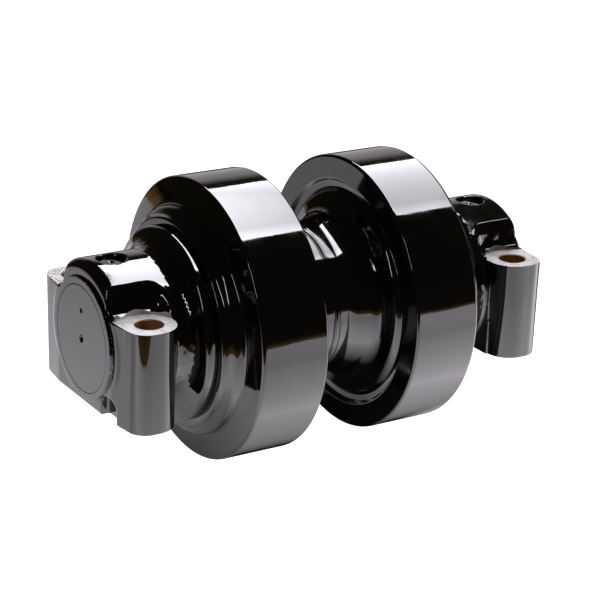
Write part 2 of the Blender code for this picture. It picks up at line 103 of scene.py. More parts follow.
# Shaft
SHAFT_RADIUS = 37.5
SHAFT_SHOULDER_RADIUS = 41.5
SHAFT_SHOULDER_END = 45.5
HALF_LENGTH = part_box("shaft")[1].x / MM
DIMPLE_RADIUS = 3.0
DIMPLE_PILOT_RADIUS = 1.4
DIMPLE_DEPTH = 6.0
PAINT_MARGIN = 0.1                      # paint reaches this far past the dimple's floor
INDEX_MARK_Z = 20.0
INDEX_MARK_RADIUS = 1.9
INDEX_MARK_DEPTH = 7.0
PLUG_BORE_RADIUS = 8.3
PLUG_BORE_DEPTH = 13.0
PLUG_HEX_RADIUS = 4.6
PLUG_HEX_DEPTH = 6.0
GALLERY_RADIUS = 4.0
OIL_DRILLING_RADIUS = 3.0               # down from the gallery to the shell's oil space
OVERCUT = 1.0                           # how far cutters run past a face
DRILL_REACH = 60.0                      # from the axis, past the shaft and the barrels
PIN_CLEARANCE = 0.3

# Floating face seals
COLLAR_MOUTH = 103.5
HOUSING_DEPTH = 10.7
HOUSING_RADIUS = 56.6
HOUSING_MOUTH_RADIUS = 57.2
SEAL_RING_BORE = 46.4
SEAL_BODY_RADIUS = 48.9
SEAL_BODY_TAPER = 0.6
SEAL_LIP_THICKNESS = 3.2
TORIC_CENTRE_RADIUS = 52.6
O_RING_CENTRE_RADIUS = 39.45

# Collars
FLANGE_RADIUS = 68.0
FLANGE_END = 110.4
FLANGE_MOUTH_EDGE = 0.8
FLANGE_EDGE = 3.0
FLANGE_FILLET = 13.5
FLANGE_LUMPS = 0.10
FLANGE_LUMP_SPACING = 7.5
FLANGE_ROUGH = (112.0, 127.0)           # the stretch of its root that is rough, fading in and out
FLANGE_ROUGH_FADE = 4.0
BARREL_RADIUS = 54.4
HUB_START = 93.9
HUB_RADIUS = 45.7
WEB_FACE = 168.3
WEB_INNER_FACE = 129.6
SHOULDER_LENGTH = 5.8                   # the barrel's rounded end is part of an ellipse
SHOULDER_DROP = 7.9
PAD_RADIUS = 42.9
PAD_EDGE = 0.7
BORE_RADIUS = 37.8
O_RING_GROOVE = (118.1, 121.9, 41.3)
SEAT_Z = -46.5
PLATE_BOTTOM_EDGE = 0.6
SPOT_FACE_Z = 25.0
SPOT_FACE_RADIUS = 19.9
SPOT_CUT_HEIGHT = 6.0
SPOT_RUN_OUT = 30.0
SPOT_PLATE_INSET = 1.5
CAST_FLOOR_Z = 26.0
CAST_FLOOR_RISE = 0.07                  # the floor over a boss climbs outwards from here
CAST_FLOOR_RISE_START = 38.0
BOSS_X = 148.2
BOSS_Y = 55.4
BOSS_RADIUS = 18.6
BOSS_DRAFT = 1.5 / (SPOT_FACE_Z - SEAT_Z)
BOSS_BOTTOM_EDGE = 0.8
BOSS_CORNER = 11.0                      # outer corner between a boss and the leaning plate
PLATE_LEAN_START = 41.0                 # from here outwards the plate's face leans back to the boss
PLATE_LEAN = 0.115
WEB_FILLET = 4.0
WEB_FILLET_END = WEB_FACE - 3.0         # the fillet fades out before the outboard face
WEB_FILLET_FADE = 8.0
WEB_FILLET_LEAST = 0.05
UNDERCUT_START = 127.0                  # from here outwards nothing hangs below the seat
FAR_AWAY = 1000.0
BOLT_HOLE_RADIUS = 9.5
BOLT_HOLE_CHAMFER = 0.7
POCKET_WALL_Y = 35.2
POCKET_LEAN = 0.18
POCKET_START = 129.2
POCKET_CORNER = 9.0
POCKET_FLOOR_FILLET = 6.0
POCKET_EDGE = 3.0
POCKET_LUMPS = 0.22
POCKET_LUMP_SPACING = 17.0
POCKET_LUMP_RISE = 4.0                  # the lumps start at the pocket's floor and reach full size here
NOTCH_Y = 36.0
NOTCH_HALF_WIDTH = 10.0
NOTCH_SPRING_Z = -36.5
NOTCH_RISE = 6.0
NOTCH_FLOOR = 162.5
NOTCH_FILLET = 2.0
NOTCH_EDGE = 1.2
PIN_HOLE_RADIUS = 8.3
PIN_CUT_START = 5.0
PIN_RECESS_RADIUS = 10.0
PIN_RECESS_FLOOR_Z = 49.4
PIN_RECESS_EDGE = 1.6
PIN_DIMPLE_RADIUS = 2.6
PIN_DIMPLE_DEPTH = 1.6
CAST_STEP = 0.9                         # grid of the cast surfaces
CAST_MARGIN = 3.0                       # grid kept clear round the casting

# Fineness
FINE_SEGMENTS = 224
RING_SEGMENTS = 128
SMALL_SEGMENTS = 48
RUBBER_STEPS = 16
SMOOTH_ANGLE = math.radians(28)

# Camera, from the roller's centre
CAMERA_YAW = math.radians(32.105)
CAMERA_PITCH = math.radians(20.12)
CAMERA_ROLL = math.radians(1.785)
CAMERA_DISTANCE = 1.4562
CAMERA_RIGHT = 0.00205
CAMERA_UP = -0.00061
CAMERA_LENS = 122.104

# Studio, in metres and in units of the white level. A light given as a pair fades between the two numbers
# over the place of the same name. The table's back edge is square to the camera.
TABLE_TOWARDS = Vector((-math.sin(CAMERA_YAW), -math.cos(CAMERA_YAW), 0.0))
TABLE_RIGHT = Vector((math.cos(CAMERA_YAW), -math.sin(CAMERA_YAW), 0.0))
TABLE_CORNERS = (                       # to the camera's right, towards the camera
    (-0.73, 0.33),
    (3.0, 0.59),
    (3.0, -4.0),
    (-0.73, -4.0),
)
FRONT_LIGHT = (3.05, 5.0)               # in front of the roller, from far to near
FRONT_PLACE = (-0.30, -0.12)
FRONT_FALL = (0.74, 1.1)                # from left to right
FRONT_FALL_PLACE = (-0.05, 0.35)
BACK_LIGHT = (1.6, 0.95)                # behind the roller, from near to far
BACK_PLACE = (0.12, 0.46)
BACK_FALL = (1.0, 0.1)
BACK_FALL_PLACE = (0.08, 0.16)
FRONT_TO_BACK_PLACE = (-0.11, 0.0)
TABLE_COLOUR = (1.0, 0.955, 1.02)
TABLE_SHADE = 0.01                      # what is left of the light right under the roller
SHADE_ACROSS_PLACE = (0.04, 0.11)
SHADE_ALONG_PLACE = (0.07, 0.18)
TABLE_SEEN_LIGHT = 1.5                  # bright enough to be pure white to the camera
HORIZON_FADE_START = 0.012
HORIZON_HEIGHT = 0.045
HORIZON_LEFT_HEIGHT = 0.06
HORIZON_COLOUR = (0.75, 0.46, 0.16)
HORIZON_LIGHT = 0.62
SOFTBOX_CORNERS = (
    (0.22, -0.26),
    (0.735, -0.26),
    (0.73, 0.0),
    (0.85, 0.6),
    (1.04, 1.05),
    (0.42, 1.05),
)
SOFTBOX_COLOUR = (0.97, 0.985, 1.03)
CARDS = (                               # (x, y) corners and light of two small cards beside the softbox
    (((0.752, -0.15), (0.785, -0.15), (0.80, 0.35), (0.765, 0.35)), 2.6),
    (((0.80, -0.30), (0.95, -0.30), (0.95, -0.16), (0.80, -0.16)), 10.0),
)
SOFTBOX_Z = 1.0
SOFTBOX_LIGHT = 11.0
SOFTBOX_EDGE_LIGHT = 18.0
SOFTBOX_EDGE_WIDTH = 0.16
SOFTBOX_FALL = (1.6, 0.88)              # brighter at its left, dimmer at its right
SOFTBOX_FALL_PLACE = (0.38, 0.56)
STRIP_CENTRE = (-1.03, -0.43, 0.55)
STRIP_SIZE = (0.07, 0.55)
STRIP_LIGHT = 16.0
ROOM_COLOUR = (0.030, 0.024, 0.016)
BACKDROP_COLOUR = (0.77, 0.72, 0.74)
BACKDROP_TOP = (0.34, 0.48)             # where the backdrop fades in, as parts of a direction's length
BACKDROP_NEAR = (0.15, 0.45)
BACKDROP_LEFT = (-0.15, 0.25)
WHITE_STRENGTH = 1.1


# ---------------------------------------------------------------- outlines


def rounded(corners, steps=6):
    """An outline through (x, r) or (x, r, fillet) corners, with an arc at each corner that has a fillet."""
    points = []
    count = len(corners)
    for i, corner in enumerate(corners):
        here = np.array(corner[:2], float)
        fillet = corner[2] if len(corner) > 2 else 0.0
        if not fillet:
            points.append(tuple(here))
            continue
        back = np.array(corners[i - 1][:2], float) - here
        ahead = np.array(corners[(i + 1) % count][:2], float) - here
        back_length = np.linalg.norm(back)
        ahead_length = np.linalg.norm(ahead)
        back /= back_length
        ahead /= ahead_length
        inner = math.acos(np.clip(back @ ahead, -1, 1))
        reach = min(fillet / math.tan(inner / 2), 0.49 * back_length, 0.49 * ahead_length)
        radius = reach * math.tan(inner / 2)
        middle = (back + ahead) / np.linalg.norm(back + ahead)
        centre = here + middle * radius / math.sin(inner / 2)
        first = here + back * reach - centre
        last = here + ahead * reach - centre
        sweep = math.pi - inner
        for k in range(steps + 1):
            t = k / steps
            offset = math.sin((1 - t) * sweep) * first + math.sin(t * sweep) * last
            points.append(tuple(centre + offset / math.sin(sweep)))
    return points


def mirrored(points):
    """The same outline on the other side of mid-length, run through backwards."""
    return [(-p[0], *p[1:]) for p in reversed(points)]


def held(outline, closed, shortest=1.2, inset=0.2):
    """The outline with a point just inside both ends of each longer stretch, so that it shades flat."""
    points = []
    count = len(outline)
    for i in range(count):
        start = np.array(outline[i], float)
        points.append(tuple(start))
        if i == count - 1 and not closed:
            break
        end = np.array(outline[(i + 1) % count], float)
        length = np.linalg.norm(end - start)
        if length > shortest:
            step = (end - start) * inset / length
            points += [tuple(start + step), tuple(end - step)]
    return points


# ---------------------------------------------------------------- meshes


def mesh_object(name, verts, faces, materials, face_slots=None):
    """A smooth-shaded object from points in mm, with crisp edges where the surface turns sharply."""
    mesh = bpy.data.meshes.new(name)
    mesh.from_pydata((np.asarray(verts, float) * MM).tolist(), [], faces)
    for material in materials:
        mesh.materials.append(material)
    if face_slots is not None:
        mesh.polygons.foreach_set("material_index", face_slots)
    mesh.validate()
    mesh.shade_smooth()
    mesh.set_sharp_from_angle(angle=SMOOTH_ANGLE)
    obj = bpy.data.objects.new(name, mesh)
    bpy.context.scene.collection.objects.link(obj)
    return obj


def lathe(outline, segments, axis="X", centre=(0.0, 0.0, 0.0), relief=None):
    """Spins an (along, radius) outline. It may start and end on the axis; otherwise it closes as a ring.

    `relief` gives the change of radius for arrays of (along, radius, angle).
    """
    capped = outline[0][1] == 0 and outline[-1][1] == 0
    outline = np.array(held(outline, not capped), float)
    body = outline[1:-1] if capped else outline
    rows = len(body)
    angle = np.arange(segments) * 2 * math.pi / segments
    along = np.repeat(body[:, 0][None], segments, 0)
    radius = np.repeat(body[:, 1][None], segments, 0)
    turn = np.repeat(angle[:, None], rows, 1)
    if relief is not None:
        radius = radius + relief(along, radius, turn)
    first, second = radius * np.cos(turn), radius * np.sin(turn)
    if axis == "X":
        points = np.stack([along, first, second], -1)
    else:
        points = np.stack([first, second, along], -1)
    verts = points.reshape(-1, 3)
    faces = []
    last_row = rows - 1 if capped else rows
    for s in range(segments):
        t = (s + 1) % segments
        for i in range(last_row):
            j = (i + 1) % rows
            faces.append((s * rows + i, s * rows + j, t * rows + j, t * rows + i))
    if capped:
        ends = np.zeros((2, 3))
        column = 0 if axis == "X" else 2
        ends[0, column], ends[1, column] = outline[0, 0], outline[-1, 0]
        start, finish = len(verts), len(verts) + 1
        verts = np.concatenate([verts, ends])
        for s in range(segments):
            t = (s + 1) % segments
            faces.append((start, s * rows, t * rows))
            faces.append((finish, t * rows + rows - 1, s * rows + rows - 1))
    return verts + np.array(centre), outwards(verts, faces)


def outwards(verts, faces):
    """The faces, all turned over if together they enclose a negative volume."""
    volume = 0.0
    for face in faces:
        a, b, c = verts[face[0]], verts[face[1]], verts[face[2]]
        volume += np.dot(a, np.cross(b, c))
        if len(face) == 4:
            volume += np.dot(a, np.cross(c, verts[face[3]]))
    return [tuple(reversed(face)) for face in faces] if volume < 0 else faces


def joined(parts):
    """Several (verts, faces) as one."""
    verts, faces, start = [], [], 0
    for part_verts, part_faces in parts:
        verts.append(part_verts)
        faces += [tuple(i + start for i in face) for face in part_faces]
        start += len(part_verts)
    return np.concatenate(verts), faces


def prism(plan, low, high):
    """An upright prism on a plan outline of (x, y) points."""
    count = len(plan)
    verts = np.array([(x, y, low) for x, y in plan] + [(x, y, high) for x, y in plan], float)
    faces = [tuple(range(count)), tuple(range(count, 2 * count))[::-1]]
    for i in range(count):
        j = (i + 1) % count
        faces.append((i, i + count, j + count, j))
    return verts, outwards(verts, faces)


def cut_away(obj, shapes, material):
    """Cuts closed shapes out of an object and leaves the cut faces in the given material."""
    verts, faces = joined(shapes)
    cutter = mesh_object(f"{obj.name}_cutter", verts, faces, [material])
    modifier = obj.modifiers.new("cut", "BOOLEAN")
    modifier.operation = "DIFFERENCE"
    modifier.solver = "MANIFOLD"
    modifier.material_mode = "TRANSFER"
    modifier.object = cutter
    graph = bpy.context.evaluated_depsgraph_get()
    mesh = bpy.data.meshes.new_from_object(obj.evaluated_get(graph))
    obj.modifiers.clear()
    obj.data = mesh
    mesh.shade_smooth()
    mesh.set_sharp_from_angle(angle=SMOOTH_ANGLE)
    crease_between_materials(mesh)
    bpy.data.objects.remove(cutter, do_unlink=True)


def crease_between_materials(mesh):
    """Marks as sharp every edge where one material meets another."""
    slots = np.empty(len(mesh.polygons), int)
    sizes = np.empty(len(mesh.polygons), int)
    edges = np.empty(len(mesh.loops), int)
    mesh.polygons.foreach_get("material_index", slots)
    mesh.polygons.foreach_get("loop_total", sizes)
    mesh.loops.foreach_get("edge_index", edges)
    slots = np.repeat(slots, sizes)
    lowest = np.full(len(mesh.edges), 99)
    highest = np.full(len(mesh.edges), -1)
    np.minimum.at(lowest, edges, slots)
    np.maximum.at(highest, edges, slots)
    sharp = np.empty(len(mesh.edges), bool)
    mesh.edges.foreach_get("use_edge_sharp", sharp)
    mesh.edges.foreach_set("use_edge_sharp", sharp | (lowest != highest))


# ---------------------------------------------------------------- cast surfaces


def round_union(a, b, radius):
    """Distance to both solids together, with a fillet where they meet."""
    return np.maximum(radius, np.minimum(a, b)) - np.hypot(
        np.maximum(radius - a, 0), np.maximum(radius - b, 0))


def round_common(a, b, radius):
    """Distance to what two solids share, with a rounded edge."""
    return np.minimum(-radius, np.maximum(a, b)) + np.hypot(
        np.maximum(radius + a, 0), np.maximum(radius + b, 0))


def lumps(x, y, z, wavelength):
    """Slow, uneven waves, between -1 and 1, like those of a sand-cast surface."""
    k = 2 * math.pi / wavelength
    first = np.sin(k * (x + 0.6 * y) + 1.3) * np.sin(k * (z - 0.4 * x) + 0.4)
    second = np.sin(1.7 * k * (y - 0.3 * z) + 2.1) * np.sin(1.9 * k * (x + 0.5 * z) + 5.0)
    return 0.6 * first + 0.4 * second


def collar_turned_field(x, r):
    """The round part of a collar: flange, barrel with its rounded end, and the raised pad."""
    flange = round_common(r - FLANGE_RADIUS, COLLAR_MOUTH - x, FLANGE_MOUTH_EDGE)
    flange = round_common(flange, x - FLANGE_END, FLANGE_EDGE)
    squeeze = SHOULDER_LENGTH / SHOULDER_DROP
    barrel = round_common((r - BARREL_RADIUS) * squeeze, x - WEB_FACE, SHOULDER_LENGTH)
    barrel = np.maximum(barrel, COLLAR_MOUTH - x)
    hub = np.maximum(r - HUB_RADIUS, HUB_START - x)
    hub = np.maximum(hub, x - FLANGE_END)
    pad = round_common(r - PAD_RADIUS, x - HALF_LENGTH, PAD_EDGE)
    pad = np.maximum(pad, FLANGE_END - x)
    solid = round_union(flange, barrel, FLANGE_FILLET)
    solid = np.minimum(solid, hub)
    return round_union(solid, pad, PAD_EDGE)


def collar_web_field(x, y, z):
    """The plate and the two bosses that reach down to the seat."""
    across = np.abs(y)
    lean_back = np.maximum(across - PLATE_LEAN_START, 0) * PLATE_LEAN
    plate = np.maximum(x - WEB_FACE + lean_back, WEB_INNER_FACE - x)
    plate = np.maximum(plate, across - BOSS_Y)
    plate = round_common(plate, SEAT_Z - z, PLATE_BOTTOM_EDGE)
    boss_radius = BOSS_RADIUS - BOSS_DRAFT * (SPOT_FACE_Z - z)
    boss = np.hypot(x - BOSS_X, across - BOSS_Y) - boss_radius
    corner = round_common(x - WEB_FACE + lean_back, across - BOSS_Y - boss_radius, BOSS_CORNER)
    corner = np.maximum(np.maximum(corner, BOSS_X - x), BOSS_Y - across)
    boss = round_common(np.minimum(boss, corner), SEAT_Z - z, BOSS_BOTTOM_EDGE)
    return np.maximum(np.minimum(plate, boss), z - cast_floor(across))


def cast_floor(across):
    return CAST_FLOOR_Z + CAST_FLOOR_RISE * np.maximum(across - CAST_FLOOR_RISE_START, 0)


def collar_pocket_field(x, y, z):
    """The space over each boss, where the flank of the barrel is set back."""
    across = np.abs(y)
    wall = POCKET_WALL_Y - POCKET_LEAN * (z - CAST_FLOOR_Z)
    plan = round_common(wall - across, POCKET_START - x, POCKET_CORNER)
    pocket = round_common(plan, cast_floor(across) - z, POCKET_FLOOR_FILLET)
    rise = np.clip((z - CAST_FLOOR_Z) / POCKET_LUMP_RISE, 0, 1)
    return pocket + POCKET_LUMPS * lumps(x, y, z, POCKET_LUMP_SPACING) * rise


def collar_notch_field(x, y, z):
    """The arched notch in the outboard face, beside one seat."""
    across = y - NOTCH_Y
    height = np.maximum(z - NOTCH_SPRING_Z, 0) * NOTCH_HALF_WIDTH / NOTCH_RISE
    arch = np.hypot(across, height) - NOTCH_HALF_WIDTH
    return round_common(arch, NOTCH_FLOOR - x, NOTCH_FILLET)


def collar_field(x, y, z):
    """Signed distance in mm from the cast surface of the right collar, negative inside."""
    turned = collar_turned_field(x, np.hypot(y, z))
    start, end = FLANGE_ROUGH
    fade_in = np.clip((x - start) / FLANGE_ROUGH_FADE, 0, 1)
    rough = fade_in * np.clip((end - x) / FLANGE_ROUGH_FADE, 0, 1)
    turned = turned + FLANGE_LUMPS * rough * lumps(x, y, z, FLANGE_LUMP_SPACING)
    under_seat = np.where(x > UNDERCUT_START, SEAT_Z - z, -FAR_AWAY)
    turned = np.maximum(turned, under_seat)
    blend = WEB_FILLET * np.clip((WEB_FILLET_END - x) / WEB_FILLET_FADE, WEB_FILLET_LEAST, 1)
    solid = round_union(turned, collar_web_field(x, y, z), blend)
    solid = np.maximum(solid, under_seat)
    solid = round_common(solid, -collar_pocket_field(x, y, z), POCKET_EDGE)
    solid = round_common(solid, -collar_notch_field(x, y, z), NOTCH_EDGE)
    recess = np.maximum(np.hypot(x - BOSS_X, y) - PIN_RECESS_RADIUS, PIN_RECESS_FLOOR_Z - z)
    return round_common(solid, -recess, PIN_RECESS_EDGE)


def level_surface(field, low, high, step):
    """Quads on the zero level of a field, one vertex per grid cell that the surface crosses."""
    axes = [np.arange(a, b + step, step) for a, b in zip(low, high)]
    value = field(*np.meshgrid(*axes, indexing="ij"))
    cells = np.array(value.shape) - 1
    sums = [np.zeros(cells.prod()) for _ in range(4)]
    edges = []
    for axis in range(3):
        upper = [slice(None)] * 3
        lower = [slice(None)] * 3
        upper[axis], lower[axis] = slice(1, None), slice(None, -1)
        a, b = value[tuple(lower)], value[tuple(upper)]
        index = np.argwhere((a < 0) != (b < 0))
        start, end = a[tuple(index.T)], b[tuple(index.T)]
        point = index.astype(float)
        point[:, axis] += start / (start - end)
        others = [(axis + 1) % 3, (axis + 2) % 3]
        around = []
        for step_u, step_v in ((0, 0), (1, 0), (1, 1), (0, 1)):
            cell = index.copy()
            cell[:, others[0]] -= step_u
            cell[:, others[1]] -= step_v
            flat = np.ravel_multi_index(cell.T, cells, mode="clip")
            around.append(flat)
            for k in range(3):
                sums[k] += np.bincount(flat, point[:, k], cells.prod())
            sums[3] += np.bincount(flat, minlength=cells.prod())
        quads = np.stack(around, 1)
        quads[start >= 0] = quads[start >= 0][:, ::-1]
        edges.append(quads)
    used = np.flatnonzero(sums[3])
    number = np.full(cells.prod(), -1)
    number[used] = np.arange(len(used))
    verts = np.stack([sums[k][used] / sums[3][used] for k in range(3)], 1) * step + np.array(low)
    return onto_surface(field, verts), number[np.concatenate(edges)]


def onto_surface(field, points, rounds=4, probe=0.05, flattest=0.05, longest=0.4):
    """Moves points along the field's slope until they lie on its zero level."""
    for _ in range(rounds):
        value = field(*points.T)
        slope = np.zeros_like(points)
        for k in range(3):
            shift = np.zeros(3)
            shift[k] = probe
            slope[:, k] = (field(*(points + shift).T) - field(*(points - shift).T)) / (2 * probe)
        size = np.maximum((slope ** 2).sum(1), flattest)
        move = -value[:, None] * slope / size[:, None]
        length = np.maximum(np.linalg.norm(move, axis=1, keepdims=True), 1e-9)
        points = points + move * np.minimum(1, longest / length)
    return points


# ---------------------------------------------------------------- materials


class Nodes:
    """Short ways to build one material's node tree."""

    def __init__(self, tree):
        self.tree = tree
        self.coordinates = None

    def add(self, kind, inputs=None, **settings):
        node = self.tree.nodes.new(kind)
        for key, value in settings.items():
            setattr(node, key, value)
        for key, value in (inputs or {}).items():
            if isinstance(value, bpy.types.NodeSocket):
                self.tree.links.new(value, node.inputs[key])
            else:
                node.inputs[key].default_value = value
        return node

    def place(self):
        """Coordinates fixed to the piece, in metres."""
        if self.coordinates is None:
            self.coordinates = self.add("ShaderNodeTexCoord").outputs["Object"]
        return self.coordinates

    def noise(self, scale, detail=2.0, roughness=0.5, vector=None):
        inputs = {
            "Vector": vector or self.place(),
            "Scale": scale,
            "Detail": detail,
            "Roughness": roughness,
        }
        return self.add("ShaderNodeTexNoise", inputs).outputs["Fac"]

    def between(self, value, low, high, start=0.3, end=0.7):
        """A value between two numbers, as the given one runs from start to end."""
        inputs = {"Value": value, "From Min": start, "From Max": end, "To Min": low, "To Max": high}
        return self.add("ShaderNodeMapRange", inputs).outputs["Result"]

    def math(self, operation, a, b=0.0):
        node = self.add("ShaderNodeMath", {0: a, 1: b}, operation=operation)
        return node.outputs[0]

    def vector(self, operation, a, b=(0.0, 0.0, 0.0)):
        node = self.add("ShaderNodeVectorMath", {0: a, 1: b}, operation=operation)
        return node.outputs[0]

    def mix_colour(self, factor, first, second):
        node = self.add("ShaderNodeMix", data_type="RGBA")
        for name, value in (("Factor", factor), ("A", first), ("B", second)):
            socket = next(s for s in node.inputs if s.name == name and s.enabled)
            if isinstance(value, bpy.types.NodeSocket):
                self.tree.links.new(value, socket)
            else:
                socket.default_value = value if name == "Factor" else (*value, 1.0)
        return next(s for s in node.outputs if s.enabled)

    def bump(self, height, distance, strength=1.0, normal=None):
        inputs = {"Height": height, "Distance": distance, "Strength": strength}
        if normal is not None:
            inputs["Normal"] = normal
        return self.add("ShaderNodeBump", inputs).outputs["Normal"]


def new_material(name):
    material = bpy.data.materials.new(name)
    material.use_nodes = True
    nodes = Nodes(material.node_tree)
    return material, nodes, material.node_tree.nodes["Principled BSDF"]


def connect(nodes, shader, **inputs):
    for name, value in inputs.items():
        socket = shader.inputs[name.replace("_", " ")]
        if isinstance(value, bpy.types.NodeSocket):
            nodes.tree.links.new(value, socket)
        else:
            socket.default_value = value


def black_enamel():
    """Deep gloss paint: near-black, faintly uneven in tone, with slow waves and fine orange peel."""
    material, nodes, shader = new_material("black_enamel")
    tone = nodes.mix_colour(nodes.noise(22.0, 3.0), (0.0010, 0.0008, 0.0006), (0.0024, 0.0020, 0.0016))
    gloss = nodes.between(nodes.noise(60.0, 4.0), 0.035, 0.085)
    waves = nodes.noise(34.0, 1.0)
    peel = nodes.noise(420.0, 2.0)
    wavy = nodes.bump(waves, 0.00035, 0.5)
    surface = nodes.bump(peel, 0.00002, 0.35, wavy)
    connect(nodes, shader, Base_Color=tone, Roughness=gloss, Normal=surface, IOR=1.5)
    return material


def metal(name, light, dark, gloss, grain_scale, grain, stretch=(1.0, 1.0, 1.0)):
    """A metal with uneven tone, blotchy gloss and a fine directional grain."""
    material, nodes, shader = new_material(name)
    tone = nodes.mix_colour(nodes.between(nodes.noise(90.0, 5.0, 0.6), 0.0, 1.0), dark, light)
    mapped = nodes.add("ShaderNodeMapping", {"Vector": nodes.place(), "Scale": stretch}).outputs[0]
    lines = nodes.noise(grain_scale, 3.0, 0.6, mapped)
    surface = nodes.bump(lines, grain, 0.6)
    rough = nodes.between(nodes.noise(140.0, 3.0), *gloss)
    connect(nodes, shader, Base_Color=tone, Roughness=rough, Normal=surface, Metallic=1.0)
    return material


def milled_steel(name, light, dark):
    """Bright spot face: arcs left by the cutter round each bolt hole, with faint stains."""
    material, nodes, shader = new_material(name)
    one_corner = nodes.vector("ABSOLUTE", nodes.place())
    from_hole = nodes.vector("SUBTRACT", one_corner, (BOSS_X * MM, BOSS_Y * MM, 0.0))
    flat = nodes.vector("MULTIPLY", from_hole, (1.0, 1.0, 0.0))
    rings = nodes.add("ShaderNodeTexWave", {"Vector": flat, "Scale": 520.0, "Distortion": 0.6},
                      wave_type="RINGS", rings_direction="SPHERICAL").outputs["Fac"]
    stain = nodes.between(nodes.noise(150.0, 4.0, 0.6), 0.0, 1.0, 0.45, 0.75)
    tone = nodes.mix_colour(stain, light, dark)
    rough = nodes.between(nodes.noise(260.0, 3.0), 0.46, 0.62)
    surface = nodes.bump(rings, 0.00002, 0.3)
    connect(nodes, shader, Base_Color=tone, Roughness=rough, Normal=surface, Metallic=0.85)
    return material


def hole_wall():
    """Drilled wall of a bolt hole, browned by storage oil and a first bloom of rust."""
    material, nodes, shader = new_material("hole_wall")
    bloom = nodes.between(nodes.noise(210.0, 5.0, 0.65), 0.0, 1.0)
    tone = nodes.mix_colour(bloom, (0.40, 0.20, 0.085), (0.20, 0.10, 0.04))
    mapped = nodes.add("ShaderNodeMapping", {"Vector": nodes.place(), "Scale": (1.0, 1.0, 6.0)}).outputs[0]
    surface = nodes.bump(nodes.noise(500.0, 2.0, 0.5, mapped), 0.00006, 0.5)
    connect(nodes, shader, Base_Color=tone, Roughness=nodes.between(bloom, 0.42, 0.6), Normal=surface,
            Metallic=0.35)
    return material


def nitrile_rubber():
    """Matt black rubber with a fine moulded skin and a trace of talc."""
    material, nodes, shader = new_material("nitrile_rubber")
    talc = nodes.between(nodes.noise(300.0, 5.0, 0.7), 0.0, 1.0, 0.5, 0.8)
    tone = nodes.mix_colour(talc, (0.014, 0.014, 0.015), (0.045, 0.045, 0.045))
    surface = nodes.bump(nodes.noise(1600.0, 2.0), 0.00002, 0.5)
    connect(nodes, shader, Base_Color=tone, Roughness=nodes.between(talc, 0.5, 0.75), Normal=surface)
    return material


def make_materials():
    """Every paint and metal by name. Colours are (light, dark); gloss is a range of roughness."""
    return {
        "black_enamel": black_enamel(),
        "turned_steel": metal("turned_steel", (0.62, 0.61, 0.59), (0.50, 0.48, 0.46),
                              gloss=(0.22, 0.36), grain_scale=900.0, grain=0.00002, stretch=(8.0, 1.0, 1.0)),
        "dark_steel": metal("dark_steel", (0.24, 0.23, 0.22), (0.13, 0.12, 0.12),
                            gloss=(0.28, 0.42), grain_scale=500.0, grain=0.00003),
        "bronze": metal("bronze", (0.62, 0.43, 0.21), (0.48, 0.31, 0.14),
                        gloss=(0.26, 0.40), grain_scale=700.0, grain=0.00002, stretch=(6.0, 1.0, 1.0)),
        "seal_iron": metal("seal_iron", (0.46, 0.45, 0.44), (0.34, 0.33, 0.32),
                           gloss=(0.10, 0.26), grain_scale=1200.0, grain=0.00001, stretch=(4.0, 1.0, 1.0)),
        "milled_steel": milled_steel("milled_steel", (0.60, 0.577, 0.58), (0.36, 0.33, 0.32)),
        # painted shade: the same milled steel at about half its brightness, for the right spot face
        "shaded_milled_steel": milled_steel("shaded_milled_steel", (0.30, 0.287, 0.285), (0.16, 0.146, 0.14)),
        "hole_wall": hole_wall(),
        "nitrile_rubber": nitrile_rubber(),
    }


# ---------------------------------------------------------------- pieces


def finish_piece(obj, body, node):
    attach(obj, body)
    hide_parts(node)
    return obj


def shell_outline():
    """The whole shell as one closed ring: outside from left to right, then back through the bore."""
    half = [
        NECK_FLARE,
        NECK_FILLET,
        HUB_CREST,
        FACE_GROOVE,
        FACE_GROOVE_WALL,
        FACE_LIP,
        (DRUM_INNER_FACE, DRUM_RADIUS, DRUM_INNER_EDGE),
        (DRUM_OUTER_FACE, DRUM_RADIUS, DRUM_OUTER_EDGE),
        *OUTER_STEPS,
    ]
    floor = SHELL_MOUTH - HOUSING_DEPTH
    thrust_bore = cad_size("thrust_ring_right")[2] + THRUST_CLEARANCE
    bush_end, bush_radius = (size + BUSH_CLEARANCE for size in cad_size("bush_right")[1:])
    bore = [
        (SHELL_MOUTH, HOUSING_MOUTH_RADIUS),
        (floor, HOUSING_RADIUS),
        (floor, thrust_bore),
        (bush_end, thrust_bore),
        (bush_end, bush_radius),
        (CAVITY_HALF_LENGTH, bush_radius),
        (CAVITY_HALF_LENGTH - CAVITY_CHAMFER, CAVITY_RADIUS),
    ]
    stops = np.arange(-WELD_FINE_REACH, WELD_FINE_REACH + WELD_FINE_STEP / 2, WELD_FINE_STEP)
    neck_middle = [(x, NECK_RADIUS) for x in stops]
    return rounded(mirrored(half) + neck_middle + half + bore + mirrored(bore), 8)


def shell_relief(along, radius, turn):
    """The friction weld round the neck: a groove and a fine line, both slightly uneven."""
    on_neck = (np.abs(radius - NECK_RADIUS) < NECK_TOLERANCE).astype(float)
    wander = WELD_WANDER[0] * np.sin(3 * turn + 0.7) + WELD_WANDER[1] * np.sin(7 * turn)
    groove = np.exp(-((along - WELD_GROOVE_X - wander) / WELD_GROOVE_HALF_WIDTH) ** 2)
    line = np.exp(-((along - WELD_LINE_X + wander) / WELD_LINE_HALF_WIDTH) ** 2)
    return -on_neck * (WELD_GROOVE_DEPTH * groove + WELD_LINE_DEPTH * line)


def make_shell(paint):
    verts, faces = lathe(shell_outline(), FINE_SEGMENTS, relief=shell_relief)
    finish_piece(mesh_object("shell", verts, faces, [paint["black_enamel"]]), "roller", "roller_shell")


